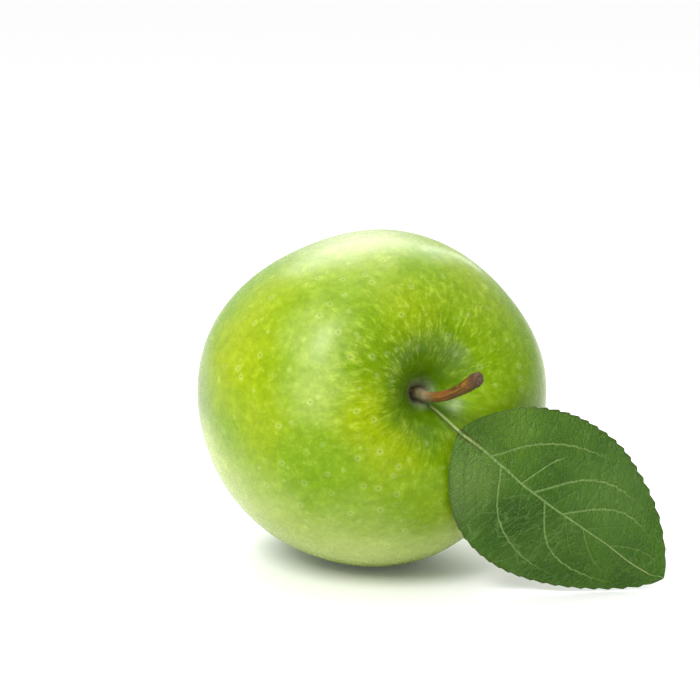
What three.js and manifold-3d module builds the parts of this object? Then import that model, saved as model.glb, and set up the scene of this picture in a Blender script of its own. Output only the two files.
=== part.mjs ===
// A green apple lying on its cheek, with its stem, its dried calyx and one leaf on a short stalk.
// Millimetres, +Z up. The apple rests on a small flat spot centred on the origin. The side that is
// seen first faces -Y, and the leaf hangs to +X.
import * as THREE from "three";
import { mergeVertices } from "three/addons/utils/BufferGeometryUtils.js";
import Module from "manifold-3d";

const wasm = await Module();
wasm.setup();

// Fruit. Its own frame has +Z up along the stem and the middle of the core at the origin.
const fruitRadius = 39.2;
const fruitHeight = 84;
const shoulderTaper = 0.1;
const shoulderFullness = 0.9;
const stemHollow = { depth: 15, radius: 9, steepness: 1.3 };
const calyxBasin = { depth: 6.5, radius: 9, steepness: 2 };
// The cheeks swell out of round: how many cheeks, by what share of the radius, and which way.
const lobes = [
  { count: 2, swell: 0.016, degrees: 9 },
  { count: 3, swell: 0.012, degrees: 18 },
  { count: 4, swell: 0.01, degrees: 82 },
  { count: 5, swell: 0.0095, degrees: 72 },
];
const fruitRows = 52;
const fruitSegments = 68;

// How the fruit lies: the stem points 25 degrees to the side and is lifted 13.6 degrees.
const stemLift = THREE.MathUtils.degToRad(13.6);
const stemTurn = THREE.MathUtils.degToRad(25);
const coreCentre = [-0.6, 1.3, 37.8];

// Stem: its root stands in a plain socket with a small gap all round.
const fitGap = 0.3;
const stemRootRadius = 1.4;
const stemRadius = 1.1;
const stemKnob = 0.45;
const stemRootDepth = 2;
const hollowFloor = fruitHeight / 2 - stemHollow.depth;
const stemPath = [
  [0, 0, hollowFloor - stemRootDepth + fitGap],
  [0, 0, hollowFloor + 2],
  [-0.4, -1, 35],
  [0.3, -1, 41.5],
  [1.4, 0.4, 48.5],
  [2, 2.2, 55],
];
const budScar = { along: 0.3, height: 0.7, length: 0.045, degrees: 105 };

// Calyx: five dried sepals round a tuft of stamens, on a small disc let into the basin.
const basinFloor = -fruitHeight / 2 + calyxBasin.depth;
const calyxDisc = { radius: 2.6, thickness: 1.3 };
const sepal = { count: 5, length: 5.2, width: 1.9, thickness: 0.7 };
const stamen = { count: 5, length: 2.6, radius: 0.35, ring: 1.1 };

// Leaf. Its own frame has the blade's base at the origin, +X to the tip and +Z out of its face.
const leafBase = [20, -36.3, 38.8];
const leafSwing = THREE.MathUtils.degToRad(10);
const leafDroop = THREE.MathUtils.degToRad(37.2);
const leafRoll = THREE.MathUtils.degToRad(78);
const bladeLength = 59.4;
const bladeThickness = 0.76;
const upperHalf = { width: 20.6, fullness: 0.72, swellAt: 0.93, fold: 6, curl: 0.006 };
const lowerHalf = { width: 18.8, fullness: 0.72, swellAt: 0.83, fold: 24, curl: 0.006 };
const midribSag = 2.1;
const bladeArch = 1.5;
const marginWave = { height: 0.45, waves: 3.5 };
const teeth = { perSide: 23, depth: 0.6, samples: 5 };
const bladeColumns = 10;
const narrowestHalf = 0.35;
const stalkPath = [
  [-6.05, 2.3, -9.95],
  [-4.5, 1.85, -7.55],
  [-2.45, 1.05, -4.3],
  [-0.9, 0.35, -1.65],
];
const ribRadius = { stalk: 0.65, base: 0.6, end: 0.2 };

const smoothStep = THREE.MathUtils.smoothstep;

// A closed solid for joining and cutting, from a closed geometry.
function solidFrom(geometry) {
  const bare = new THREE.BufferGeometry();
  bare.setAttribute("position", geometry.getAttribute("position"));
  if (geometry.index) bare.setIndex(geometry.index);
  const welded = mergeVertices(bare, 1e-4);
  return new wasm.Manifold(
    new wasm.Mesh({
      numProp: 3,
      vertProperties: new Float32Array(welded.attributes.position.array),
      triVerts: new Uint32Array(welded.index.array),
    }),
  );
}

function geometryFrom(solid) {
  const mesh = solid.getMesh();
  const geometry = new THREE.BufferGeometry();
  geometry.setAttribute("position", new THREE.BufferAttribute(mesh.vertProperties, 3));
  geometry.setIndex(new THREE.BufferAttribute(mesh.triVerts, 1));
  const flat = geometry.toNonIndexed();
  flat.computeVertexNormals();
  return flat;
}

function namedMesh(name, solid, colour, roughness) {
  const material = new THREE.MeshStandardMaterial({ color: colour, roughness, metalness: 0 });
  const mesh = new THREE.Mesh(geometryFrom(solid), material);
  mesh.name = name;
  return mesh;
}

// Moves every vertex of a geometry to where the given function puts it.
function reshape(geometry, place) {
  const position = geometry.getAttribute("position");
  const point = new THREE.Vector3();
  for (let i = 0; i < position.count; i++) {
    point.fromBufferAttribute(position, i);
    place(point, i);
    position.setXYZ(i, point.x, point.y, point.z);
  }
  return geometry;
}

// A round rod bent along a curve. Its radius follows the given function of how far along it is
// (0 to 1) and of the angle round it.
function bentRod(curve, sides, rings, radiusAt) {
  const frames = curve.computeFrenetFrames(rings, false);
  const rod = new THREE.CylinderGeometry(1, 1, 1, sides, rings);
  return reshape(rod, (point) => {
    const along = point.y + 0.5;
    const ring = Math.round(along * rings);
    const radius = radiusAt(along, Math.atan2(point.x, point.z));
    const across = frames.normals[ring].clone().multiplyScalar(point.z * radius);
    const through = frames.binormals[ring].clone().multiplyScalar(point.x * radius);
    point.copy(curve.getPointAt(along)).add(across).add(through);
  });
}

function curveThrough(points) {
  return new THREE.CatmullRomCurve3(points.map((p) => new THREE.Vector3(...p)));
}

// The dent at either end of the fruit, at a distance from its axis.
function dent(hollow, distance) {
  return hollow.depth * Math.exp(-((distance / hollow.radius) ** hollow.steepness));
}

// A point of the fruit's outline, from the stem end (0) to the calyx end (1).
function fruitOutline(share) {
  const angle = Math.PI * (share - 0.055 * Math.sin(2 * Math.PI * share));
  const lean = (1 + shoulderTaper * Math.cos(angle)) / (1 + 0.5 * shoulderTaper ** 2);
  const onAxis = share === 0 || share === 1;
  const distance = onAxis ? 0 : fruitRadius * Math.sin(angle) ** shoulderFullness * lean;
  const height = (fruitHeight / 2) * Math.cos(angle);
  const end = share < 0.5 ? -dent(stemHollow, distance) : dent(calyxBasin, distance);
  return { point: new THREE.Vector2(distance, height + end), girth: onAxis ? 0 : Math.sin(angle) };
}

function fruitBody() {
  const rows = [];
  for (let i = 0; i <= fruitRows; i++) rows.push(fruitOutline(1 - i / fruitRows));
  const round = new THREE.LatheGeometry(rows.map((row) => row.point), fruitSegments);
  round.rotateX(Math.PI / 2);
  return reshape(round, (point, i) => {
    const girth = rows[i % rows.length].girth;
    const angle = Math.atan2(point.y, point.x);
    let swell = 1;
    for (const lobe of lobes) {
      const turn = lobe.count * (angle - THREE.MathUtils.degToRad(lobe.degrees));
      swell += girth * lobe.swell * Math.cos(turn);
    }
    point.x *= swell;
    point.y *= swell;
  });
}

// A plain round bar along the stem's line, between two heights in the fruit's frame.
function axisBar(radius, from, to) {
  const bar = new THREE.CylinderGeometry(radius, radius, Math.abs(to - from), 20);
  bar.rotateX(Math.PI / 2);
  bar.translate(0, 0, (from + to) / 2);
  return solidFrom(bar);
}

// The fruit's frame in the lying position.
function lyingFrame() {
  const frame = new THREE.Group();
  frame.position.set(...coreCentre);
  frame.rotation.set(Math.PI / 2 - stemLift, 0, stemTurn, "ZYX");
  frame.updateMatrix();
  return frame;
}

// Everything below the surface that the apple lies on, seen from the fruit's frame.
function belowTheSurface(frame) {
  const slab = new THREE.BoxGeometry(80, 80, 20);
  slab.translate(0, 0, -10);
  slab.applyMatrix4(frame.matrix.clone().invert());
  return solidFrom(slab);
}

function makeFruit(frame) {
  const stemSocket = axisBar(stemRootRadius + fitGap, hollowFloor - stemRootDepth, hollowFloor + 4);
  const discSocket = axisBar(calyxDisc.radius + fitGap, basinFloor - 2, basinFloor + fitGap);
  const fruit = solidFrom(fruitBody())
    .subtract(belowTheSurface(frame))
    .subtract(stemSocket)
    .subtract(discSocket);
  return namedMesh("fruit", fruit, 0x8dbb2b, 0.35);
}

// The stem is stout at its root, slim in the middle and knobbed at its broken end. A small scar
// of a fallen bud stands on one side.
function makeStem() {
  const scarAngle = THREE.MathUtils.degToRad(budScar.degrees);
  const rod = bentRod(curveThrough(stemPath), 16, 32, (along, angle) => {
    const root = (stemRootRadius - stemRadius) * (1 - smoothStep(along, 0.05, 0.3));
    const knob = stemKnob * smoothStep(along, 0.6, 0.97);
    const near = Math.exp(-(((along - budScar.along) / budScar.length) ** 2));
    const scar = budScar.height * near * Math.max(0, Math.cos(angle - scarAngle)) ** 2;
    return stemRadius + root + knob + scar;
  });
  return namedMesh("stem", solidFrom(rod), 0x7b5a38, 0.8);
}

// One sepal stands up from the disc's edge and curls in over the stamens.
function sepalRod(index) {
  const turn = (index / sepal.count) * 2 * Math.PI;
  const top = basinFloor - calyxDisc.thickness;
  const reach = [1.7, 2.7, 3.2, 2.6];
  const points = reach.map((out, i) => {
    const height = top + 0.6 - (sepal.length * i) / (reach.length - 1);
    const lean = turn + 0.12 * i * (index % 2 === 0 ? 1 : -1);
    return [out * Math.cos(lean), out * Math.sin(lean), height];
  });
  const curve = curveThrough(points);
  const rod = new THREE.CylinderGeometry(1, 1, 1, 8, 10);
  return reshape(rod, (point) => {
    const along = point.y + 0.5;
    const middle = curve.getPointAt(along);
    const lean = Math.atan2(middle.y, middle.x);
    const wide = sepal.width * (1 - 0.75 * along ** 1.5) * point.z;
    const thick = (sepal.thickness / 2) * point.x;
    point.x = middle.x + thick * Math.cos(lean) - wide * Math.sin(lean);
    point.y = middle.y + thick * Math.sin(lean) + wide * Math.cos(lean);
    point.z = middle.z;
  });
}

function stamenRod(index) {
  const turn = ((index + 0.5) / stamen.count) * 2 * Math.PI;
  const top = basinFloor - calyxDisc.thickness;
  const rod = new THREE.CylinderGeometry(stamen.radius, stamen.radius, stamen.length, 8);
  rod.rotateX(Math.PI / 2);
  rod.translate(stamen.ring * Math.cos(turn), stamen.ring * Math.sin(turn), top + 0.4 - stamen.length / 2);
  return rod;
}

function makeCalyx() {
  let calyx = axisBar(calyxDisc.radius, basinFloor - calyxDisc.thickness, basinFloor);
  for (let i = 0; i < sepal.count; i++) calyx = calyx.add(solidFrom(sepalRod(i)));
  for (let i = 0; i < stamen.count; i++) calyx = calyx.add(solidFrom(stamenRod(i)));
  return namedMesh("calyx", calyx, 0x6d4c2e, 0.9);
}

// The cut edge: low teeth that rise slowly and drop towards the tip, and fade out at the base.
function toothAt(share, side) {
  const phase = (share * teeth.perSide + 1e-6) % 1;
  const saw = Math.min(phase / 0.8, (1 - phase) / 0.2);
  const uneven = 0.85 + 0.25 * Math.sin(9 * share + side);
  const fade = smoothStep(share, 0.06, 0.22) * (1 - smoothStep(share, 0.97, 1));
  return teeth.depth * saw * uneven * fade;
}

function midribPoint(share) {
  const y = -midribSag * Math.sin(Math.PI * share) * (1 - share);
  return [share * bladeLength, y, bladeArch * Math.sin(Math.PI * share)];
}

// A point of the blade's middle surface: along it from the base (0) to the tip (1), and across it
// from the lower edge (-1) to the upper edge (1). Each half folds back and curls at its edge.
function bladePoint(share, across) {
  const half = across > 0 ? upperHalf : lowerHalf;
  const side = Math.sign(across);
  const outline = Math.sin(Math.PI * Math.min(share, 0.99999) ** half.swellAt) ** half.fullness;
  const reach = Math.max(half.width * (outline || 0), 0) + toothAt(share, side);
  const out = Math.abs(across) * Math.max(reach, narrowestHalf);
  const fold = THREE.MathUtils.degToRad(half.fold) * Math.min(share / 0.25, 1) ** 0.7;
  const wave = Math.sin(2 * Math.PI * marginWave.waves * share + 1.3 * side) * across * across;
  const [x, y, z] = midribPoint(share);
  const lift = marginWave.height * wave * Math.sin(Math.PI * share);
  return [x, y + side * out * Math.cos(fold), z - out * Math.sin(fold) - half.curl * out * out + lift];
}

// The blade is a sheet of even thickness, split into triangles alike on both faces.
function bladeSheet() {
  const rows = teeth.perSide * teeth.samples;
  const sheet = new THREE.PlaneGeometry(1, 2, rows, bladeColumns);
  const face = sheet.getAttribute("position");
  const count = face.count;
  const points = new Float32Array(count * 6);
  for (let i = 0; i < count; i++) {
    const [x, y, z] = bladePoint(face.getX(i) + 0.5, face.getY(i));
    points.set([x, y, z + bladeThickness / 2], i * 3);
    points.set([x, y, z - bladeThickness / 2], (count + i) * 3);
  }
  const triangles = [...sheet.index.array];
  for (let i = 0; i < sheet.index.count; i += 3) {
    const [a, b, c] = [0, 1, 2].map((k) => sheet.index.getX(i + k) + count);
    triangles.push(a, c, b);
  }
  const wide = rows + 1;
  const high = bladeColumns + 1;
  const rim = [];
  for (let i = 0; i < wide - 1; i++) rim.push(i);
  for (let j = 0; j < high - 1; j++) rim.push(j * wide + wide - 1);
  for (let i = wide - 1; i > 0; i--) rim.push((high - 1) * wide + i);
  for (let j = high - 1; j > 0; j--) rim.push(j * wide);
  rim.forEach((from, k) => {
    const to = rim[(k + 1) % rim.length];
    triangles.push(from, to, to + count, from, to + count, from + count);
  });
  const solid = new THREE.BufferGeometry();
  solid.setAttribute("position", new THREE.BufferAttribute(points, 3));
  solid.setIndex(triangles);
  return solid;
}

// The stalk runs on under the blade as its midrib, thinner and thinner to the tip.
function stalkAndMidrib() {
  const ribPoints = [0.03, 0.15, 0.3, 0.5, 0.7, 0.9].map((share) => {
    const [x, y, z] = midribPoint(share);
    return [x, y, z - 0.45 * (1 - share) - 0.1];
  });
  const curve = curveThrough([...stalkPath, ...ribPoints]);
  const bend = 0.2;
  return bentRod(curve, 10, 48, (along) => {
    const stalk = ribRadius.stalk + (ribRadius.base - ribRadius.stalk) * Math.min(along / bend, 1);
    const taper = Math.max(0, (along - bend) / (1 - bend));
    return stalk + (ribRadius.end - ribRadius.base) * taper;
  });
}

function makeLeaf() {
  const solid = solidFrom(bladeSheet()).add(solidFrom(stalkAndMidrib()));
  const leaf = namedMesh("leaf", solid, 0x3f7d2f, 0.6);
  leaf.position.set(...leafBase);
  leaf.rotation.set(leafRoll, leafDroop, leafSwing, "ZYX");
  return leaf;
}

const apple = new THREE.Group();
const frame = lyingFrame();
frame.add(makeFruit(frame), makeStem(), makeCalyx());
apple.add(frame, makeLeaf());

export default apple;
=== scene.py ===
# A green apple lying on its cheek with its leaf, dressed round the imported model. Metres, +Z up.
from math import atan2, cos, exp, hypot, pi, radians, sin

import bmesh
import bpy
from mathutils import Euler, Matrix, Vector, noise


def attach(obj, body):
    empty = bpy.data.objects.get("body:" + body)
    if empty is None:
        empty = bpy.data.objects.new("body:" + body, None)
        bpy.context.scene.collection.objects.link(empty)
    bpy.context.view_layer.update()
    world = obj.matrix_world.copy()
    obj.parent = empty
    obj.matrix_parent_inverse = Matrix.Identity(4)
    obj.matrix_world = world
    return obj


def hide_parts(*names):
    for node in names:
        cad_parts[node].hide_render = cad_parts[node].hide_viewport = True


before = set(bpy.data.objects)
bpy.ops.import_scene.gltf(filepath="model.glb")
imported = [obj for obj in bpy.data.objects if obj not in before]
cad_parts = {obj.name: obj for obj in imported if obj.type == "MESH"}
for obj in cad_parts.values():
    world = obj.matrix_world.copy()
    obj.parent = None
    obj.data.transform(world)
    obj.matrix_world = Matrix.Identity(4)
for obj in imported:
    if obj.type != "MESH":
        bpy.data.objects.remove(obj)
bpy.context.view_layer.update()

MM = 0.001

# Fruit, in its own frame: +Z up along the stem, the middle of the core at the origin.
FRUIT_RADIUS = 39.2 * MM
FRUIT_HEIGHT = 84 * MM
SHOULDER_TAPER = 0.1
SHOULDER_FULLNESS = 0.9
STEM_HOLLOW = {"depth": 15 * MM, "radius": 9 * MM, "steepness": 1.3}
CALYX_BASIN = {"depth": 6.5 * MM, "radius": 9 * MM, "steepness": 2}
# The cheeks: how many swellings, how large a share of the radius, and their turn in degrees.
LOBES = [(2, 0.016, 9), (3, 0.012, 18), (4, 0.01, 82), (5, 0.0095, 72)]
STEM_PIT = {"depth": 1.1 * MM, "radius": 2.2 * MM, "steepness": 4.5}
HOLLOW_ROWS = 40
FRUIT_ROWS = 140
FRUIT_SEGMENTS = 200

# How the fruit lies.
CORE_CENTRE = Vector((-0.6, 1.3, 37.8)) * MM
FRUIT_TURN = Euler((radians(90 - 13.6), 0, radians(25)), "XYZ")
LYING = Matrix.Translation(CORE_CENTRE) @ FRUIT_TURN.to_matrix().to_4x4()

# Stem, in the fruit's frame, in mm from its root to its broken end.
STEM_PATH = [
    (0, 0, 25.3),
    (0, 0, 29),
    (-0.4, -1, 35),
    (0.3, -1, 41.5),
    (1.4, 0.4, 48.5),
    (2, 2.2, 55),
]
STEM_RADIUS = 1.1 * MM
STEM_ROOT = 0.3 * MM
STEM_KNOB = 0.45 * MM
BUD_SCAR = {"along": 0.3, "height": 0.7 * MM, "length": 0.045, "angle": radians(105)}
STEM_RINGS = 90
STEM_SIDES = 40
BARK_RIDGE = 0.06 * MM
BARK_UNEVENNESS = 0.14 * MM
BROKEN_END = {"length": 1.6 * MM, "slant": 0.25, "jag": 0.2 * MM, "worn": 0.25 * MM}

# Calyx, in the fruit's frame. The sepals' reach is in mm from the axis, from foot to tip.
BASIN_FLOOR = -FRUIT_HEIGHT / 2 + CALYX_BASIN["depth"]
CALYX_DISC = {"radius": 2.6 * MM, "height": 1.3 * MM, "rounding": 0.3 * MM}
SEPALS = 5
SEPAL_REACH = (1.7, 2.7, 3.2, 2.6)
SEPAL_SIZE = {"length": 5.2 * MM, "half_width": 1.9 * MM, "thickness": 0.25 * MM}
SEPAL_CUP = 0.35 * MM
SEPAL_CRUMPLE = 0.12 * MM
STAMENS = 14

# Leaf: the blade's base at the origin of its own frame, +X to the tip, +Z out of its face.
LEAF_BASE = Vector((20, -36.3, 38.8)) * MM
LEAF_TURN = Euler((radians(78), radians(37.2), radians(10)), "XYZ")
HANGING = Matrix.Translation(LEAF_BASE) @ LEAF_TURN.to_matrix().to_4x4()
BLADE_LENGTH = 59.4 * MM
UPPER_HALF = {"width": 20.6 * MM, "fullness": 0.72, "swell_at": 0.93, "fold": radians(6)}
LOWER_HALF = {"width": 18.8 * MM, "fullness": 0.72, "swell_at": 0.83, "fold": radians(24)}
EDGE_CURL = 6
MIDRIB_SAG = 2.1 * MM
BLADE_ARCH = 1.5 * MM
EDGE_WAVE = {"height": 0.45 * MM, "waves": 3.5}
TEETH = 23
TOOTH_DEPTH = 0.6 * MM
BLADE_THICKNESS = 0.45 * MM
BLADE_ROWS = 322
BLADE_COLUMNS = 136
MIDRIB_GROOVE = {"depth": 0.15 * MM, "half_width": 0.6 * MM}
SIDE_VEIN_GROOVE = {"depth": 0.08 * MM, "half_width": 0.45 * MM}
QUILTING = {"height": 0.3 * MM, "reach": 2.2 * MM}
PUCKER = 0.35 * MM
STALK_RADIUS = {"at_base": 0.42 * MM, "at_tip": 0.22 * MM}
STALK_PATH = [(-6.05, 2.3, -9.95), (-4.5, 1.85, -7.55), (-2.45, 1.05, -4.3), (-0.9, 0.35, -1.65)]

# The midrib strays from the middle of the blade: how far along, and how far to the upper side.
MIDRIB_STRAY = [(0, 0), (0.1, 0.4), (0.2, 0.2), (0.35, -0.45), (0.5, -0.75), (0.7, -0.95)]
MIDRIB_STRAY += [(0.85, -1.5), (0.94, -1.2), (1, 0)]

# Side veins: where each leaves the midrib, how far it runs on towards the tip on its way to the
# edge, how sharply it sweeps forward there, how far out it reaches, and how strong it is.
UPPER_VEINS = [
    (0.05, 0.12, 0.5, 0.85, 0.3),
    (0.146, 0.22, 0.85, 0.84, 1.0),
    (0.305, 0.15, 0.6, 0.62, 0.75),
    (0.362, 0.32, 1.0, 0.76, 1.0),
    (0.45, 0.2, 0.5, 0.4, 0.25),
    (0.505, 0.42, 1.3, 0.66, 0.85),
    (0.62, 0.4, 0.8, 0.5, 0.25),
    (0.735, 0.44, 1.0, 0.55, 0.4),
]
LOWER_VEINS = [
    (0.05, 0.1, 0.3, 0.8, 0.35),
    (0.12, 0.13, 0.4, 0.75, 0.3),
    (0.2, 0.2, 0.75, 0.88, 0.9),
    (0.31, 0.2, 0.5, 0.5, 0.3),
    (0.42, 0.25, 1.0, 0.82, 0.9),
    (0.52, 0.28, 0.6, 0.5, 0.3),
    (0.605, 0.32, 0.8, 0.6, 0.45),
    (0.74, 0.36, 0.7, 0.5, 0.25),
]


def smooth_step(low, high, value):
    share = min(max((value - low) / (high - low), 0), 1)
    return share * share * (3 - 2 * share)


def curve_through(points, count):
    """Evenly spaced points on a smooth curve through the given ones."""
    ends = [2 * points[0] - points[1], *points, 2 * points[-1] - points[-2]]
    fine = []
    for before, start, stop, after in zip(ends, ends[1:], ends[2:], ends[3:]):
        for step in range(24):
            t = step / 24
            fine.append(
                0.5
                * (
                    2 * start
                    + (stop - before) * t
                    + (2 * before - 5 * start + 4 * stop - after) * t * t
                    + (3 * start - before - 3 * stop + after) * t**3
                )
            )
    fine.append(points[-1])
    lengths = [0]
    for a, b in zip(fine, fine[1:]):
        lengths.append(lengths[-1] + (b - a).length)
    even = []
    at = 0
    for i in range(count + 1):
        wanted = lengths[-1] * i / count
        while at < len(fine) - 2 and lengths[at + 1] < wanted:
            at += 1
        share = (wanted - lengths[at]) / (lengths[at + 1] - lengths[at])
        even.append(fine[at].lerp(fine[at + 1], min(max(share, 0), 1)))
    return even


def bent_rod(bm, points, sides, radius_at):
    """A round closed rod along the points. radius_at takes how far along it is and the angle."""
    rings = len(points) - 1
    already = len(bm.verts)
    made = bmesh.ops.create_cone(
        bm, cap_ends=True, segments=sides, radius1=1, radius2=1, depth=rings
    )
    edges = {e for v in made["verts"] for e in v.link_edges}
    long_edges = [e for e in edges if abs(e.verts[0].co.z - e.verts[1].co.z) > 0.5]
    bmesh.ops.subdivide_edges(bm, edges=long_edges, cuts=rings - 1)
    grain = bm.verts.layers.float_vector.get("grain") or bm.verts.layers.float_vector.new("grain")
    bm.verts.ensure_lookup_table()
    verts = bm.verts[already:]
    length = sum((b - a).length for a, b in zip(points, points[1:]))
    tangents = [(b - a).normalized() for a, b in zip(points, points[1:])]
    tangents.append(tangents[-1])
    across = tangents[0].orthogonal().normalized()
    frames = []
    for tangent in tangents:
        across = (across - tangent * across.dot(tangent)).normalized()
        frames.append((across, tangent.cross(across)))
    for v in verts:
        ring = round(v.co.z + rings / 2)
        angle = atan2(v.co.y, v.co.x)
        reach = radius_at(ring / rings, angle)
        side, out = frames[ring]
        v[grain] = (cos(angle), sin(angle), length * ring / rings / MM)
        v.co = points[ring] + (side * cos(angle) + out * sin(angle)) * reach
    return verts


def finish_piece(name, bm, material, node, place=None):
    """Makes the object, in the row's frame, sets it on the root body and hides the model part that
    it replaces.
    """
    if place:
        bmesh.ops.transform(bm, matrix=place, verts=bm.verts)
    bmesh.ops.recalc_face_normals(bm, faces=bm.faces)
    for face in bm.faces:
        face.smooth = True
    mesh = bpy.data.meshes.new(name)
    bm.to_mesh(mesh)
    bm.free()
    mesh.materials.append(material)
    piece = bpy.data.objects.new(name, mesh)
    bpy.context.scene.collection.objects.link(piece)
    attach(piece, "root")
    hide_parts(node)
    return piece


class Surface:
    """A material's nodes, made by short calls.

    A socket takes a number, a colour or another node's output.
    """

    def __init__(self, name):
        self.material = bpy.data.materials.new(name)
        self.material.use_nodes = True
        self.tree = self.material.node_tree
        self.shader = self.tree.nodes["Principled BSDF"]

    def put(self, socket, value):
        """Links a node's output to the socket, or sets a number or a colour there."""
        if isinstance(value, bpy.types.NodeSocket):
            self.tree.links.new(value, socket)
        elif isinstance(value, (tuple, list)) and len(value) == 3 and socket.type == "RGBA":
            socket.default_value = (*value, 1)
        else:
            socket.default_value = value

    def node(self, kind, inputs=(), **settings):
        made = self.tree.nodes.new("ShaderNode" + kind)
        for key, value in settings.items():
            setattr(made, key, value)
        for key, value in dict(inputs).items():
            self.put(made.inputs[key], value)
        return made

    def math(self, operation, first, second=0.0, third=0.0):
        made = self.node("Math", operation=operation)
        for socket, value in zip(made.inputs, (first, second, third)):
            self.put(socket, value)
        return made.outputs[0]

    def vector(self, operation, first, second=(0, 0, 0), output="Vector"):
        made = self.node("VectorMath", operation=operation)
        self.put(made.inputs[0], first)
        if operation == "SCALE":
            self.put(made.inputs["Scale"], second)
        else:
            self.put(made.inputs[1], second)
        return made.outputs[output]

    def step(self, value, low, high):
        """0 below low, 1 above high and smooth between. Low may be above high."""
        made = self.node(
            "MapRange",
            {"Value": value, "From Min": low, "From Max": high},
            interpolation_type="SMOOTHSTEP",
        )
        return made.outputs["Result"]

    def mix(self, share, first, second, blend="MIX"):
        made = self.node("Mix", data_type="RGBA", blend_type=blend)
        self.put(made.inputs["Factor"], share)
        self.put(made.inputs[6], first)
        self.put(made.inputs[7], second)
        return made.outputs[2]

    def over(self, colour, share, strength, tint):
        """The tint laid over the colour where the share says, at a strength."""
        return self.mix(self.math("MULTIPLY", share, strength), colour, tint)

    def noise(self, vector, scale, detail=2.0, roughness=0.5, output="Fac"):
        made = self.node(
            "TexNoise", {"Vector": vector, "Scale": scale, "Detail": detail, "Roughness": roughness}
        )
        return made.outputs[output]

    def split(self, vector):
        return self.node("SeparateXYZ", {"Vector": vector}).outputs

    def join(self, x, y, z):
        return self.node("CombineXYZ", {"X": x, "Y": y, "Z": z}).outputs["Vector"]

    def place(self, location, rotation):
        """Object coordinates seen from a turned frame, in millimetres."""
        coordinates = self.node("TexCoord").outputs["Object"]
        made = self.node(
            "Mapping",
            {
                "Vector": coordinates,
                "Location": location,
                "Rotation": rotation,
                "Scale": (MM, MM, MM),
            },
            vector_type="TEXTURE",
        )
        return made.outputs["Vector"]

    def bump(self, height, distance, strength):
        inputs = {"Height": height, "Distance": distance, "Strength": strength}
        return self.node("Bump", inputs).outputs["Normal"]

    def finish(self, **values):
        for name, value in values.items():
            self.put(self.shader.inputs[name.replace("_", " ")], value)
        return self.material


LIME = (0.255, 0.335, 0.001)
GREEN = (0.15, 0.27, 0.001)
DEEP_GREEN = (0.072, 0.158, 0.001)
PALE_GREEN = (0.30, 0.42, 0.035)
GREY_GREEN = (0.18, 0.25, 0.10)
BLOOM_AND_PAINTED_LIGHT = (0.44, 0.525, 0.15)
SPECKLE = (0.36, 0.47, 0.05)
PORE_BROWN = (0.09, 0.10, 0.01)
RUSSET = (0.34, 0.33, 0.2)
PAINTED_SHADE_GREEN = (0.13, 0.215, 0.001)
PAINTED_GREY_HIGHLIGHT = (0.21, 0.27, 0.11)
PAINTED_RIM_LIGHT = (0.42, 0.54, 0.08)
PAINTED_TOP_HIGHLIGHT = (0.5, 0.54, 0.36)

# Soft patches of the skin: middle and reach in mm in the fruit's frame, colour and strength.
PATCHES = [
    # Painted shade: a darker green patch on the far left rim.
    ((-39, 4, -6), 12, PAINTED_SHADE_GREEN, 0.75),
    ((-35, 19, -3), 11, GREEN, 0.6),
    ((-36, 12, 15), 16, LIME, 1.0),
    ((-33, -2, 21), 11, LIME, 0.6),
    ((-29, 24, 17), 12, LIME, 0.6),
    ((-26, -11, 31), 11, GREEN, 0.6),
    ((22, -30, 15), 16, LIME, 0.4),
    ((30, 14, -8), 20, LIME, 0.6),
    # Painted shade: two deep green patches on the upper wall of the stem hollow.
    ((-14, 10, 38), 11, DEEP_GREEN, 0.3),
    ((0, 11, 37), 9, DEEP_GREEN, 0.6),
    ((-18, -3, 37), 8, LIME, 0.8),
    ((-12, -11, 38), 11, LIME, 0.65),
    ((-4, 20, 37), 10, LIME, 0.6),
    ((14, 20, 35), 13, LIME, 0.2),
    ((16, 2, 36), 9, GREEN, 0.5),
    # Painted highlight: a soft grey spot on the hollow's wall beside the stem.
    ((6.6, 8, 36.6), 3.5, PAINTED_GREY_HIGHLIGHT, 0.6),
    ((0, 30, -26), 20, PALE_GREEN, 0.4),
]
# Pale patches laid over the mottling: a little waxy bloom, mostly painted light: sheen on the lit
# top and round the highlight, bounce light from the table on the underside, a highlight on top and
# rim light on the right.
BLOOM_AND_LIGHT_PATCHES = [
    ((-24, 15, 32), 10, BLOOM_AND_PAINTED_LIGHT, 0.35),
    ((-26, 3, 32), 9, BLOOM_AND_PAINTED_LIGHT, 0.45),
    ((-10, 33, 24), 17, BLOOM_AND_PAINTED_LIGHT, 0.35),
    # Painted highlight on the top of the fruit.
    ((-4, 38, 13), 19, PAINTED_TOP_HIGHLIGHT, 0.55),
    ((-20, -33, 12), 17, BLOOM_AND_PAINTED_LIGHT, 0.7),
    ((-38, -8, -5), 11, BLOOM_AND_PAINTED_LIGHT, 0.5),
    ((-34, -21, 0), 21, BLOOM_AND_PAINTED_LIGHT, 0.7),
    ((-9, -36, 17), 16, BLOOM_AND_PAINTED_LIGHT, 0.8),
    ((5, -34, 22), 12, BLOOM_AND_PAINTED_LIGHT, 0.6),
    ((-16, -27, 27), 12, BLOOM_AND_PAINTED_LIGHT, 0.25),
    ((-29, -22, 17), 11, BLOOM_AND_PAINTED_LIGHT, 0.25),
    ((26, -26, -8), 20, BLOOM_AND_PAINTED_LIGHT, 0.4),
    ((20, 32, 4), 16, BLOOM_AND_PAINTED_LIGHT, 0.15),
    # Painted rim light along the right cheek.
    ((37, 2, 13), 17, PAINTED_RIM_LIGHT, 0.5),
    ((29, 22, 14), 13, PAINTED_RIM_LIGHT, 0.3),
]


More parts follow.
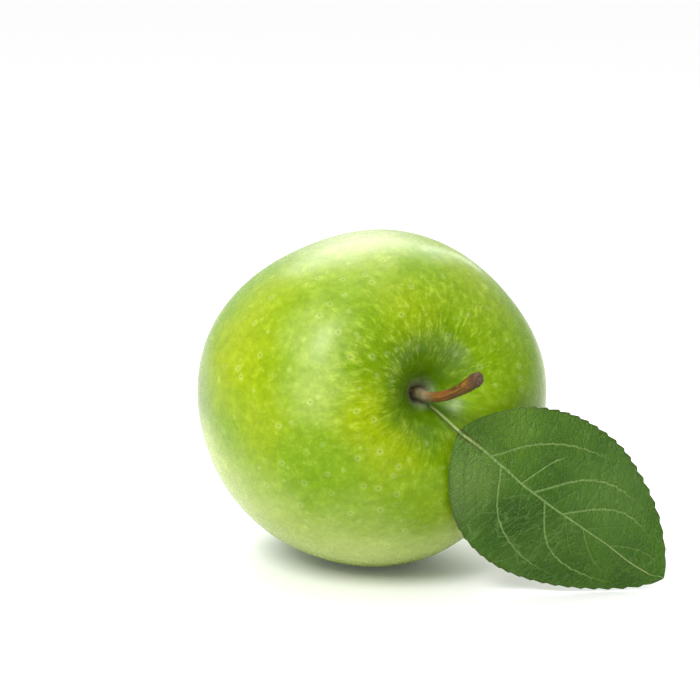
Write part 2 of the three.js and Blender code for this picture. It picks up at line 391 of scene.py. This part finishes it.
def skin_material():
    """Clouds of green and lime, with strokes round the hollow, mottling, pores, bloom, painted
    shade and painted light.
    """
    s = Surface("apple skin")
    point = s.place(CORE_CENTRE, FRUIT_TURN)
    x, y, z = (s.split(point)[k] for k in "XYZ")
    reach = s.vector("LENGTH", point, output="Value")
    flat = s.join(x, y, 0.0)
    from_axis = s.vector("LENGTH", flat, output="Value")
    around = s.vector("NORMALIZE", flat)
    waver = s.vector("SCALE", s.noise(point, 0.25, 2.0, output="Color"), 0.06)
    around = s.vector("ADD", around, waver)
    stem_end = s.step(z, 20.0, 28.0)

    # The ground colour: clouds of green and lime, with patches where they show.
    cloud = s.noise(point, 0.045, 3.0)
    colour = s.over(GREEN, s.step(cloud, 0.42, 0.75), 0.5, LIME)
    ragged = s.math("MULTIPLY_ADD", s.noise(point, 0.16, 4.0, 0.6), 9.0, -4.5)
    colour = add_patches(s, point, ragged, colour, PATCHES)

    # Darker green in the hollow, feathered out by its strokes: partly the skin's own colour there,
    # partly painted shade in the recess.
    stroke = s.noise(stretch(s, around, 19.0, from_axis, 0.36), 1.0, 3.0, 0.65)
    wide_sweep = s.noise(around, 1.4, 1.0)
    sweep = s.math("MULTIPLY_ADD", wide_sweep, 16.0, s.math("MULTIPLY", stroke, 10.0))
    feather = s.math("ADD", sweep, s.math("SUBTRACT", from_axis, 13.0))
    hollow = s.math("MULTIPLY", s.step(feather, 16.0, 6.0), stem_end)
    colour = s.over(colour, hollow, 0.85, DEEP_GREEN)

    # Long faint streaks from end to end, and short fine strokes round the hollow.
    long_streak = s.noise(stretch(s, around, 20.0, z, 0.06), 1.0, 3.0, 0.6)
    colour = s.over(colour, s.step(long_streak, 0.52, 0.8), 0.2, DEEP_GREEN)
    near_rim = s.math("MULTIPLY", s.step(from_axis, 4.0, 10.0), s.step(from_axis, 34.0, 19.0))
    near_rim = s.math("MULTIPLY", near_rim, stem_end)
    upper = s.step(s.math("MULTIPLY_ADD", x, -0.35, y), -8.0, 8.0)
    shown = s.math("MULTIPLY_ADD", upper, 0.28, 0.15)
    pale = s.math("MULTIPLY", s.step(stroke, 0.53, 0.65), near_rim)
    colour = s.over(colour, pale, shown, SPECKLE)
    dark = s.math("MULTIPLY", s.step(stroke, 0.47, 0.35), near_rim)
    colour = s.over(colour, dark, s.math("ADD", shown, -0.1), DEEP_GREEN)

    # Pale mottling, then pores: dots scattered in space that show where they lie under the skin.
    mottle = s.noise(point, 0.38, 4.0, 0.7)
    colour = s.over(colour, s.step(mottle, 0.48, 0.32), 0.2, DEEP_GREEN)
    # Painted light with some bloom: pale patches for sheen, highlights, rim light and bounce from
    # the table.
    colour = add_patches(s, point, ragged, colour, BLOOM_AND_LIGHT_PATCHES)
    colour = s.mix(s.step(mottle, 0.48, 0.68), colour, (0.045, 0.05, 0.01), "ADD")
    tone = s.math("MULTIPLY_ADD", s.noise(point, 0.6, 3.0, 0.6), 0.5, 0.76)
    colour = s.mix(1.0, colour, s.join(tone, tone, tone), "MULTIPLY")
    away = s.math("SUBTRACT", 1.0, s.math("MULTIPLY", s.step(from_axis, 12.0, 6.0), stem_end))
    fine_share, _ = pores(s, point, reach, 0.6, 0.5, 0.5)
    colour = s.mix(s.math("MULTIPLY", fine_share, away), colour, (0.025, 0.03, 0.01), "ADD")
    halo, centre = pores(s, point, reach, 0.22, 1.1, 1.4)
    colour = s.mix(s.math("MULTIPLY", halo, away), colour, (0.068, 0.068, 0.036), "ADD")
    colour = s.over(colour, centre, 0.6, PORE_BROWN)

    # A pale ring round the pit of the stem, and brown russet in the pit and in the basin.
    rough_edge = s.math("MULTIPLY_ADD", s.noise(point, 0.9, 3.0), 2.0, from_axis)
    ring = s.math("MULTIPLY", s.step(rough_edge, 5.4, 3.9), stem_end)
    colour = s.over(colour, ring, 0.5, GREY_GREEN)
    lip = s.math("MULTIPLY", s.step(rough_edge, 4.4, 3.6), stem_end)
    colour = s.over(colour, lip, 0.5, (0.30, 0.38, 0.19))
    pit_share = s.math("MULTIPLY", s.step(from_axis, 2.7, 1.9), stem_end)
    basin_edge = s.math("MULTIPLY_ADD", s.noise(point, 0.7, 5.0, 0.7), 9.0, from_axis)
    basin_share = s.math("MULTIPLY", s.step(basin_edge, 11.5, 8.0), s.step(z, -25.0, -33.0))
    russet = s.math("MAXIMUM", pit_share, basin_share)
    colour = s.over(colour, basin_share, 0.85, (0.15, 0.125, 0.035))
    colour = s.mix(pit_share, colour, RUSSET)

    grain = s.noise(point, 2.2, 3.0, 0.6)
    roughness = s.math("MULTIPLY_ADD", grain, 0.06, 0.24)
    roughness = s.math("MULTIPLY_ADD", russet, 0.35, roughness)
    relief = s.math("MULTIPLY_ADD", halo, 0.6, s.math("MULTIPLY", grain, 0.3))
    relief = s.math("MULTIPLY_ADD", centre, -0.8, relief)
    relief = s.math("MULTIPLY_ADD", mottle, 0.8, relief)
    normal = s.bump(relief, 0.00006, 0.4)
    return s.finish(
        Base_Color=colour,
        Roughness=roughness,
        Normal=normal,
        Subsurface_Weight=0.1,
        Subsurface_Radius=(1.0, 1.4, 0.3),
        Subsurface_Scale=0.002,
        Specular_IOR_Level=0.13,
    )


def add_patches(s, point, ragged, colour, patches):
    """Lays soft patches with ragged edges over the colour."""
    for middle, size, tint, strength in patches:
        apart = s.math("ADD", s.vector("DISTANCE", point, middle, output="Value"), ragged)
        share = s.math("MULTIPLY", s.step(apart, size * 1.2, size * 0.1), strength)
        colour = s.mix(share, colour, tint)
    return colour


def stretch(s, around, across, along, length):
    """Coordinates for streaks that run along one value and lie side by side round the core."""
    parts = s.split(around)
    return s.join(
        s.math("MULTIPLY", parts["X"], across),
        s.math("MULTIPLY", parts["Y"], across),
        s.math("MULTIPLY", along, length),
    )


def pores(s, point, reach, density, radius, depth):
    """The pale spots of one size and the dark centres of some of them."""
    cell = s.node("TexVoronoi", {"Vector": point, "Scale": density}, feature="F1")
    seed = cell.outputs["Position"]
    seed_reach = s.vector("LENGTH", seed, output="Value")
    level = s.vector("SCALE", point, s.math("DIVIDE", seed_reach, reach))
    apart = s.vector("DISTANCE", level, seed, output="Value")
    buried = s.math("ABSOLUTE", s.math("SUBTRACT", seed_reach, reach))
    chance = s.split(cell.outputs["Color"])["X"]
    shown = s.step(buried, depth, depth * 0.7)
    size = s.math("MULTIPLY", s.math("MULTIPLY_ADD", chance, 0.6, 0.6), radius)
    halo = s.step(s.math("DIVIDE", apart, size), 1.0, 0.3)
    centre = s.math("MULTIPLY", s.step(apart, 0.36, 0.08), s.step(chance, 0.4, 0.6))
    return s.math("MULTIPLY", halo, shown), s.math("MULTIPLY", centre, shown)


def dent(hollow, distance):
    """How deep a hollow is at a distance from the core's axis."""
    return hollow["depth"] * exp(-((distance / hollow["radius"]) ** hollow["steepness"]))


def outline_point(share):
    """The fruit's outline from the stem end (0) to the calyx end (1), and its girth there."""
    angle = pi * (share - 0.055 * sin(2 * pi * share))
    if share in (0, 1):
        distance = 0
    else:
        lean = (1 + SHOULDER_TAPER * cos(angle)) / (1 + 0.5 * SHOULDER_TAPER**2)
        distance = FRUIT_RADIUS * sin(angle) ** SHOULDER_FULLNESS * lean
    height = FRUIT_HEIGHT / 2 * cos(angle)
    if share < 0.5:
        height -= dent(STEM_HOLLOW, distance) + dent(STEM_PIT, distance)
    else:
        height += dent(CALYX_BASIN, distance)
    return distance, height


def make_fruit():
    """The outline spun round the core, swollen into its cheeks and flattened where it rests."""
    bm = bmesh.new()
    girth_layer = bm.verts.layers.float.new("girth")
    outline = []
    shares = [0.05 * i / HOLLOW_ROWS for i in range(HOLLOW_ROWS)]
    shares += [0.05 + 0.95 * i / FRUIT_ROWS for i in range(FRUIT_ROWS + 1)]
    for share in shares:
        distance, height = outline_point(share)
        vert = bm.verts.new((distance, 0, height))
        vert[girth_layer] = (distance / FRUIT_RADIUS) ** 1.1
        outline.append(vert)
    lines = [bm.edges.new(pair) for pair in zip(outline, outline[1:])]
    bmesh.ops.spin(
        bm, geom=outline + lines, axis=(0, 0, 1), angle=2 * pi, steps=FRUIT_SEGMENTS, use_merge=True
    )
    bmesh.ops.remove_doubles(bm, verts=bm.verts, dist=1e-6)
    for vert in bm.verts:
        angle = atan2(vert.co.y, vert.co.x)
        swell = 1
        for count, share, turn in LOBES:
            swell += vert[girth_layer] * share * cos(count * (angle - radians(turn)))
        dimple = 0.004 * noise.noise(vert.co * 70) * vert[girth_layer]
        vert.co.x *= swell + dimple
        vert.co.y *= swell + dimple
    bmesh.ops.transform(bm, matrix=LYING, verts=bm.verts)
    bmesh.ops.bisect_plane(
        bm,
        geom=bm.verts[:] + bm.edges[:] + bm.faces[:],
        plane_co=(0, 0, 0),
        plane_no=(0, 0, -1),
        clear_outer=True,
    )
    rim = [e for e in bm.edges if e.is_boundary]
    bmesh.ops.edgeloop_fill(bm, edges=rim)
    return finish_piece("apple_fruit", bm, skin_material(), "fruit")


def bark_material():
    """Brown fibres, reddish near the fruit, pale at the root and dark at the broken end, with
    painted shade on the underside.
    """
    s = Surface("stem bark")
    grain = s.node("Attribute", attribute_name="grain").outputs["Vector"]
    along = s.split(grain)["Z"]
    fibre = s.noise(s.vector("MULTIPLY", grain, (2.2, 2.2, 0.16)), 1.0, 4.0, 0.65)
    blotch = s.noise(s.vector("MULTIPLY", grain, (0.6, 0.6, 0.25)), 1.0, 2.0)
    colour = s.mix(s.step(fibre, 0.38, 0.64), (0.07, 0.026, 0.005), (0.26, 0.12, 0.012))
    colour = s.mix(s.step(blotch, 0.55, 0.75), colour, (0.15, 0.10, 0.012))
    reddish = s.math("MULTIPLY", s.step(along, 12.0, 15.0), s.step(along, 23.0, 16.0))
    colour = s.over(colour, reddish, 0.55, (0.22, 0.07, 0.022))
    normal_out = s.node("TexCoord").outputs["Normal"]
    # Painted shade: the side facing down is darkened.
    below = s.vector("DOT_PRODUCT", normal_out, (0.25, -0.1, -0.96), output="Value")
    colour = s.over(colour, s.step(below, 0.15, 0.8), 0.75, (0.05, 0.028, 0.006))
    ragged = s.math("MULTIPLY_ADD", fibre, 6.0, along)
    pale_root = s.step(ragged, 17.5, 11.5)
    colour = s.over(colour, pale_root, 0.75, (0.25, 0.22, 0.13))
    dark_end = s.step(ragged, 29.5, 33.0)
    colour = s.over(colour, dark_end, 0.85, (0.055, 0.024, 0.01))
    worn = s.math("MULTIPLY", s.step(along, 29.9, 30.7), s.step(fibre, 0.4, 0.55))
    colour = s.over(colour, worn, 0.25, (0.34, 0.24, 0.15))
    normal = s.bump(fibre, 0.0003, 0.8)
    return s.finish(Base_Color=colour, Roughness=0.55, Normal=normal, Specular_IOR_Level=0.3)


def stem_radius(along, angle):
    """Thicker at the root and at the knobbed end, with the scar of a bud on one side."""
    root = STEM_ROOT * (1 - smooth_step(0.05, 0.3, along))
    knob = STEM_KNOB * smooth_step(0.6, 0.97, along)
    near = exp(-(((along - BUD_SCAR["along"]) / BUD_SCAR["length"]) ** 2))
    scar = BUD_SCAR["height"] * near * max(0, cos(angle - BUD_SCAR["angle"])) ** 2
    return STEM_RADIUS + root + knob + scar


def make_stem():
    """The woody stem, ridged along its grain, with a slanted broken end."""
    points = curve_through([Vector(p) * MM for p in STEM_PATH], STEM_RINGS)
    bm = bmesh.new()

    def ridged(along, angle):
        ridge = BARK_RIDGE * sin(7 * angle + 5 * along) * smooth_step(0.1, 0.4, along)
        place = Vector((cos(angle) * 1.5, sin(angle) * 1.5, along * 14))
        uneven = BARK_UNEVENNESS * noise.noise(place)
        worn = BROKEN_END["worn"] * smooth_step(0.965, 1, along)
        return stem_radius(along, angle) + ridge + uneven - worn

    verts = bent_rod(bm, points, STEM_SIDES, ridged)
    heading = (points[-1] - points[-2]).normalized()
    for vert in verts:
        out = vert.co - points[-1]
        near_end = smooth_step(-BROKEN_END["length"], 0, out.dot(heading))
        slant = BROKEN_END["slant"] * out.dot(Vector((-1, 0.4, 0.3)))
        jag = BROKEN_END["jag"] * noise.noise(vert.co * 1400)
        vert.co += heading * (slant + jag) * near_end
    cap = max(bm.faces, key=lambda face: face.calc_center_median().dot(heading))
    bmesh.ops.inset_region(bm, faces=[cap], thickness=0.35 * MM, depth=-0.12 * MM)
    bmesh.ops.inset_region(bm, faces=[cap], thickness=0.4 * MM, depth=-0.3 * MM)
    return finish_piece("apple_stem", bm, bark_material(), "stem", LYING)


def tooth_at(share, side):
    """How far a tooth stands out. Those near the base on the lower side are worn low."""
    phase = (share * TEETH + 1e-6) % 1
    saw = min(phase / 0.8, (1 - phase) / 0.2)
    uneven = 0.85 + 0.25 * sin(9 * share + side)
    fade = smooth_step(0.06, 0.22, share) * (1 - smooth_step(0.97, 1, share))
    worn = 1 if side > 0 else 0.4 + 0.6 * smooth_step(0.3, 0.75, share)
    return TOOTH_DEPTH * (0.5 + (saw - 0.5) * worn) * uneven * fade


def midrib_point(share):
    """A point on the middle line of the blade, which sags and arches from base to tip."""
    sag = -MIDRIB_SAG * sin(pi * share) * (1 - share)
    return Vector((share * BLADE_LENGTH, sag, BLADE_ARCH * sin(pi * share)))


def half_width(share, half):
    """How wide the upper or the lower half of the blade is, without its teeth."""
    swell = sin(pi * min(share, 0.99999) ** half["swell_at"])
    return half["width"] * max(swell, 0) ** half["fullness"]


def midrib_stray(share):
    """How far the midrib lies from the middle of the blade, in metres."""
    for (start, low), (stop, high) in zip(MIDRIB_STRAY, MIDRIB_STRAY[1:]):
        if share <= stop:
            return (low + (high - low) * smooth_step(start, stop, share)) * MM
    return 0


def blade_offset(share, out):
    """The place in the blade's cross-section that lies out from its middle, towards +Y or -Y."""
    fold = (UPPER_HALF if out > 0 else LOWER_HALF)["fold"] * min(share / 0.25, 1) ** 0.7
    return Vector((0, out * cos(fold), -abs(out) * sin(fold)))


def blade_point(share, across):
    """A point of the blade's middle surface, and its distance from the midrib."""
    side = 1 if across > 0 else -1
    half = UPPER_HALF if across > 0 else LOWER_HALF
    reach = max(half_width(share, half) + tooth_at(share, side), 0.2 * MM)
    stray = midrib_stray(share) * min(1, reach / (4 * MM))
    crease = blade_offset(share, stray)
    edge = blade_offset(share, side * reach)
    offset = crease.lerp(edge, abs(across))
    out = (offset - crease).length
    wave = sin(2 * pi * EDGE_WAVE["waves"] * share + 1.3 * side) * across * across
    offset.z += EDGE_WAVE["height"] * wave * sin(pi * share) - EDGE_CURL * offset.y**2
    return midrib_point(share) + offset, out


def vein_at(share, across):
    """The nearest side vein: how far off it is, on which side of it this is, and its strength."""
    half, veins = (UPPER_HALF, UPPER_VEINS) if across > 0 else (LOWER_HALF, LOWER_VEINS)
    a = abs(across)
    width = max(half_width(share, half), MM)
    found = (1.0, 1.0, 0.0)
    for start, run, sweep, end, strength in veins:
        slope = BLADE_LENGTH * (run + 5 * sweep * a**4)
        past = (share - start - run * a - sweep * a**5) * BLADE_LENGTH
        ahead = past * width / hypot(slope, width)
        strength *= 1 - smooth_step(end - 0.2, end, a)
        gap = abs(ahead) + (1 - strength) * 1.2 * MM
        if gap < found[0]:
            found = (gap, ahead, strength)
    return found


def make_blade():
    """A fine sheet with a cut edge. Veins are sunk in its face, and the blade bulges between."""
    bm = bmesh.new()
    names = ("along", "across", "edge", "gap", "ahead", "vigour")
    layers = [bm.verts.layers.float.new(name) for name in names]
    bmesh.ops.create_grid(bm, x_segments=BLADE_ROWS, y_segments=BLADE_COLUMNS, size=1)
    for vert in bm.verts:
        share, across = (vert.co.x + 1) / 2, vert.co.y
        point, out = blade_point(share, across)
        gap, ahead, vigour = vein_at(share, across)
        midrib = 1 - smooth_step(0, MIDRIB_GROOVE["half_width"], out)
        side_vein = vigour * (1 - smooth_step(0, SIDE_VEIN_GROOVE["half_width"], abs(ahead)))
        quilt = smooth_step(0, QUILTING["reach"], min(gap, out)) * (1 - abs(across) ** 3)
        pucker = noise.noise(Vector((share * 7, across * 2.5, 3.0))) * abs(across)
        point.z += QUILTING["height"] * quilt + PUCKER * pucker
        point.z -= SIDE_VEIN_GROOVE["depth"] * side_vein + MIDRIB_GROOVE["depth"] * midrib
        side = out if across > 0 else -out
        values = (share * BLADE_LENGTH, side, abs(across) * MM, gap, ahead, vigour * MM)
        for layer, value in zip(layers, values):
            vert[layer] = value / MM
        vert.co = point
    bmesh.ops.solidify(bm, geom=bm.faces[:], thickness=BLADE_THICKNESS)
    return finish_piece("apple_leaf_blade", bm, leaf_material(), "leaf", HANGING)


# Clouds of the leaf: middle and reach in mm along and across the blade, colour and strength.
LEAF_CLOUDS = [
    ((22, -8, 0), 12, (0.016, 0.06, 0.002), 0.8),
    ((34, -5, 0), 10, (0.02, 0.065, 0.003), 0.4),
    ((8, -7, 0), 11, (0.145, 0.245, 0.045), 0.8),
    ((9, 10, 0), 14, (0.11, 0.225, 0.016), 0.85),
    ((38, 10, 0), 16, (0.09, 0.19, 0.03), 0.6),
]


def leaf_material():
    """Green with pale veins, a net between them, a painted sheen on one lobe and a paler, duller
    underside.
    """
    s = Surface("leaf green")
    along, across, edge, gap, ahead, vigour = (
        s.node("Attribute", attribute_name=name).outputs["Fac"]
        for name in ("along", "across", "edge", "gap", "ahead", "vigour")
    )
    flat = s.join(along, across, 0.0)
    bent = s.vector("ADD", flat, s.vector("SCALE", s.noise(flat, 0.5, 2.0, output="Color"), 1.2))
    net = s.node("TexVoronoi", {"Vector": bent, "Scale": 0.5}, feature="DISTANCE_TO_EDGE")
    fine_net = s.node("TexVoronoi", {"Vector": bent, "Scale": 1.9}, feature="DISTANCE_TO_EDGE")
    # Rungs: fine veins that cross from one side vein to the next.
    parts = s.split(bent)
    out = s.math("ABSOLUTE", parts["Y"])
    ladder = s.join(
        s.math("MULTIPLY", s.math("MULTIPLY_ADD", out, 0.15, parts["X"]), 0.6),
        s.math("MULTIPLY", out, 0.17),
        0.0,
    )
    rungs = s.node("TexVoronoi", {"Vector": ladder, "Scale": 1.0}, feature="DISTANCE_TO_EDGE")
    rung = s.step(rungs.outputs["Distance"], 0.09, 0.01)
    rib_width = s.math("MULTIPLY_ADD", along, -0.0035, 0.36)
    rib = s.math("DIVIDE", s.math("ABSOLUTE", across), rib_width)
    midrib = s.step(rib, 1.25, 0.6)
    vein_width = s.math("MULTIPLY_ADD", vigour, 0.18, 0.08)
    vein = s.step(s.math("DIVIDE", s.math("ABSOLUTE", ahead), vein_width), 1.35, 0.4)
    vein = s.math("MULTIPLY", vein, s.step(gap, 1.6, 1.1))
    vein = s.math("MULTIPLY", vein, s.math("MULTIPLY", s.step(vigour, 0.0, 0.8), 0.85))
    vein = s.math("MAXIMUM", vein, midrib)
    net_share = s.step(net.outputs["Distance"], 0.07, 0.0)
    fine_share = s.step(fine_net.outputs["Distance"], 0.14, 0.0)
    cloud = s.noise(flat, 0.09, 3.0)
    fleck = s.noise(flat, 1.6, 3.0, 0.7)
    colour = s.mix(s.step(cloud, 0.3, 0.7), (0.028, 0.092, 0.003), (0.060, 0.150, 0.008))
    for place, size, tint, strength in LEAF_CLOUDS:
        apart = s.vector("DISTANCE", flat, place, output="Value")
        colour = s.over(colour, s.step(apart, size, 1.0), strength, tint)
    colour = s.over(colour, s.step(fleck, 0.5, 0.7), 0.4, (0.11, 0.22, 0.03))
    colour = s.over(colour, fine_share, 0.3, (0.1, 0.2, 0.04))
    colour = s.over(colour, net_share, 0.3, (0.13, 0.24, 0.055))
    lower = s.math("MULTIPLY", s.step(across, 3.0, -3.0), s.step(along, 44.0, 24.0))
    rung_share = s.math("MULTIPLY", rung, s.math("MULTIPLY_ADD", lower, 0.28, 0.12))
    colour = s.mix(rung_share, colour, (0.14, 0.25, 0.06))
    colour = s.over(colour, vein, 0.95, (0.20, 0.32, 0.09))

    # A painted pale sheen on the lobe beside the fruit, brown lines where the stalk meets the
    # blade, a dark rim.
    painted_sheen = s.math("MULTIPLY", s.step(across, -8.0, -15.0), s.step(along, 20.0, 8.0))
    colour = s.over(colour, painted_sheen, 0.4, (0.14, 0.22, 0.07))
    beside = s.math("ABSOLUTE", s.math("SUBTRACT", s.math("ABSOLUTE", across), 0.62))
    brown = s.math("MULTIPLY", s.step(beside, 0.3, 0.1), s.step(along, 8.0, 4.0))
    colour = s.over(colour, brown, 0.65, (0.09, 0.06, 0.015))
    rim = s.step(edge, 0.965, 0.995)
    colour = s.over(colour, rim, 0.55, (0.05, 0.08, 0.012))

    # The underside is paler and duller.
    normal_out = s.node("TexCoord").outputs["Normal"]
    face_way = tuple(LEAF_TURN.to_matrix() @ Vector((0, 0, 1)))
    facing = s.vector("DOT_PRODUCT", normal_out, face_way, output="Value")
    under = s.step(facing, 0.1, -0.1)
    colour = s.over(colour, under, 0.55, (0.2, 0.3, 0.12))
    height = s.math("MULTIPLY_ADD", net_share, -0.6, s.math("MULTIPLY", fine_share, -0.4))
    height = s.math("MULTIPLY_ADD", fleck, 0.8, height)
    height = s.math("MULTIPLY_ADD", rung, -0.8, height)
    height = s.math("MULTIPLY_ADD", vein, -0.8, height)
    normal = s.bump(height, 0.0005, 0.8)
    roughness = s.math("MULTIPLY_ADD", cloud, 0.12, 0.42)
    roughness = s.math("MULTIPLY_ADD", under, 0.2, roughness)
    return s.finish(
        Base_Color=colour,
        Roughness=roughness,
        Normal=normal,
        Specular_IOR_Level=0.13,
        Subsurface_Weight=0.05,
        Subsurface_Radius=(0.6, 1.0, 0.2),
        Subsurface_Scale=0.001,
    )


def stalk_material():
    s = Surface("leaf stalk")
    point = s.place(LEAF_BASE, LEAF_TURN)
    fibre = s.noise(s.vector("MULTIPLY", point, (1.0, 4.0, 4.0)), 1.0, 3.0)
    colour = s.mix(fibre, (0.14, 0.2, 0.03), (0.29, 0.38, 0.12))
    normal_out = s.node("TexCoord").outputs["Normal"]
    # Painted shade along the stalk's lower side.
    below = s.vector("DOT_PRODUCT", normal_out, (-0.66, -0.2, -0.72), output="Value")
    colour = s.over(colour, s.step(below, 0.1, 0.6), 0.8, (0.05, 0.065, 0.012))
    normal = s.bump(fibre, 0.0001, 0.5)
    return s.finish(Base_Color=colour, Roughness=0.45, Normal=normal)


def make_stalk():
    """The leaf stalk, which runs on under the blade as its midrib."""
    rib = []
    for share in (0.03, 0.1, 0.2, 0.35, 0.5, 0.7, 0.85, 0.94):
        sunk = (0.6 * (1 - share) + 0.25) * MM if share > 0.05 else 0.45 * MM
        rib.append(blade_point(share, 1e-6)[0] - Vector((0, 0, sunk)))
    points = curve_through([Vector(p) * MM for p in STALK_PATH] + rib, 120)
    bm = bmesh.new()

    def radius(along, angle):
        thinner = (STALK_RADIUS["at_base"] - STALK_RADIUS["at_tip"]) * smooth_step(0.1, 1, along)
        return STALK_RADIUS["at_base"] - thinner

    bent_rod(bm, points, 16, radius)
    return finish_piece("apple_leaf_stalk", bm, stalk_material(), "leaf", HANGING)


def dried_material():
    s = Surface("dried calyx")
    point = s.place(CORE_CENTRE, FRUIT_TURN)
    fibre = s.noise(s.vector("MULTIPLY", point, (3.0, 3.0, 0.9)), 1.0, 4.0, 0.65)
    colour = s.mix(s.step(fibre, 0.35, 0.7), (0.08, 0.05, 0.022), (0.36, 0.27, 0.14))
    normal = s.bump(fibre, 0.0002, 0.8)
    return s.finish(Base_Color=colour, Roughness=0.85, Normal=normal)


def make_calyx():
    """Five dried sepals round a tuft of stamens, on a small disc in the basin."""
    bm = bmesh.new()
    disc = bmesh.ops.create_cone(
        bm,
        cap_ends=True,
        segments=40,
        radius1=CALYX_DISC["radius"],
        radius2=CALYX_DISC["radius"],
        depth=CALYX_DISC["height"],
        matrix=Matrix.Translation((0, 0, BASIN_FLOOR - CALYX_DISC["height"] / 2)),
    )
    rims = {e for v in disc["verts"] for e in v.link_edges}
    bmesh.ops.bevel(
        bm,
        geom=list(rims),
        offset=CALYX_DISC["rounding"],
        segments=2,
        profile=0.5,
        affect="EDGES",
        material=-1,
    )
    for index in range(SEPALS):
        add_sepal(bm, index)
    for index in range(STAMENS):
        add_stamen(bm, index)
    return finish_piece("apple_calyx", bm, dried_material(), "calyx", LYING)


def add_sepal(bm, index):
    """A thin pointed scale that stands on the disc's edge and curls in over the stamens."""
    turn = index / SEPALS * 2 * pi
    top = BASIN_FLOOR - CALYX_DISC["height"] + 0.6 * MM
    lean_by = 0.12 if index % 2 == 0 else -0.12
    points = []
    for i, out in enumerate(SEPAL_REACH):
        lean = turn + lean_by * i
        height = top - SEPAL_SIZE["length"] * i / 3
        points.append(Vector((out * MM * cos(lean), out * MM * sin(lean), height)))
    middle = curve_through(points, 16)
    made = bmesh.ops.create_grid(bm, x_segments=16, y_segments=8, size=1)
    for vert in made["verts"]:
        share, across = (vert.co.x + 1) / 2, vert.co.y
        centre = middle[round(share * 16)]
        lean = atan2(centre.y, centre.x)
        outward = Vector((cos(lean), sin(lean), 0))
        sideways = Vector((-sin(lean), cos(lean), 0))
        wide = SEPAL_SIZE["half_width"] * (1 - share**1.6) ** 0.8 * across
        crumple = SEPAL_CRUMPLE * noise.noise(Vector((share * 6, across * 3, index)))
        cup = SEPAL_CUP * (1 - across * across) + crumple
        vert.co = centre + outward * cup + sideways * wide
    faces = list({f for v in made["verts"] for f in v.link_faces})
    bmesh.ops.solidify(bm, geom=faces, thickness=SEPAL_SIZE["thickness"])


def add_stamen(bm, index):
    """A bent thread with a thicker tip. The threads stand in a spiral from the middle out."""
    turn = index * 2.4
    ring = (0.35 + 0.1 * index) * MM
    base = Vector((ring * cos(turn), ring * sin(turn), BASIN_FLOOR - 1.2 * MM))
    length = 2.6 + 0.12 * (index % 4)
    tip = base + Vector((0.5 * cos(turn + 1), 0.5 * sin(turn + 1), -length)) * MM
    bend = base.lerp(tip, 0.5) + Vector((0.15, 0.1, 0)) * MM

    def radius(along, angle):
        return (0.13 + 0.1 * smooth_step(0.75, 1, along)) * MM

    bent_rod(bm, curve_through([base, bend, tip], 6), 6, radius)


def make_floor():
    """A wide white table that glows a little, so that its shadows stay light."""
    bm = bmesh.new()
    bmesh.ops.create_grid(bm, x_segments=1, y_segments=1, size=20)
    mesh = bpy.data.meshes.new("floor")
    bm.to_mesh(mesh)
    bm.free()
    floor = bpy.data.objects.new("floor", mesh)
    bpy.context.scene.collection.objects.link(floor)
    s = Surface("white table")
    glow = {"Emission_Color": (1, 1, 1), "Emission_Strength": 0.06}
    mesh.materials.append(s.finish(Base_Color=(0.82, 0.82, 0.82), Roughness=0.6, **glow))


# The camera, fitted to the photograph. Its focal length is in the photograph's pixels.
CAMERA_PLACE = Vector((-3.76, -500.5, 153.65)) * MM
CAMERA_DIP = radians(11.77)
SENSOR_WIDTH = 36
FOCAL_LENGTH_PX = 2200
PHOTO_WIDTH_PX = 700


def make_camera():
    """The photograph's view: half a metre away with a long lens, looking a little down."""
    data = bpy.data.cameras.new("camera")
    data.sensor_width = SENSOR_WIDTH
    data.lens = SENSOR_WIDTH * FOCAL_LENGTH_PX / PHOTO_WIDTH_PX
    camera = bpy.data.objects.new("camera", data)
    camera.location = CAMERA_PLACE
    camera.rotation_euler = (radians(90) - CAMERA_DIP, 0, 0)
    bpy.context.scene.collection.objects.link(camera)
    bpy.context.scene.camera = camera


# The studio: which way is brightest, how the light grows that way, and the soft boxes with
# their place, width, height and power.
BRIGHT_WAY = (-0.12, 0.28, 0.95)
BRIGHTNESS = {"From Min": -0.45, "From Max": 0.9, "To Min": 0.05, "To Max": 1.28}
SOFT_BOXES = [
    ("softbox behind", (0.0, 0.66, 0.68), (0.9, 0.45), 4.8),
    ("softbox right", (0.27, 0.75, 0.42), (0.05, 0.5), 0.5),
    ("softbox left", (-0.31, -0.57, 0.66), (0.2, 0.4), 6.9),
]
LIGHT_AIM = Vector((0, 0, 0.035))


def area_light(name, place, size, power):
    data = bpy.data.lights.new(name, "AREA")
    data.shape = "RECTANGLE"
    data.size, data.size_y = size
    data.energy = power
    lamp = bpy.data.objects.new(name, data)
    lamp.location = place
    lamp.rotation_euler = (LIGHT_AIM - Vector(place)).to_track_quat("-Z", "Y").to_euler()
    bpy.context.scene.collection.objects.link(lamp)


def make_light():
    """A white studio: bright above and behind, dim on the camera's side, with three soft boxes."""
    world = bpy.data.worlds.new("studio")
    bpy.context.scene.world = world
    world.use_nodes = True
    tree = world.node_tree
    direction = tree.nodes.new("ShaderNodeTexCoord").outputs["Generated"]
    lean = tree.nodes.new("ShaderNodeVectorMath")
    lean.operation = "DOT_PRODUCT"
    lean.inputs[1].default_value = BRIGHT_WAY
    tree.links.new(direction, lean.inputs[0])
    ramp = tree.nodes.new("ShaderNodeMapRange")
    ramp.interpolation_type = "SMOOTHSTEP"
    for name, value in BRIGHTNESS.items():
        ramp.inputs[name].default_value = value
    tree.links.new(lean.outputs["Value"], ramp.inputs["Value"])
    background = tree.nodes["Background"]
    background.inputs["Color"].default_value = (1, 1, 1, 1)
    tree.links.new(ramp.outputs["Result"], background.inputs["Strength"])
    for name, place, size, power in SOFT_BOXES:
        area_light(name, place, size, power)
    bpy.context.scene.view_settings.view_transform = "Standard"


make_camera()
make_fruit()
make_stem()
make_blade()
make_stalk()
make_calyx()
make_floor()
make_light()
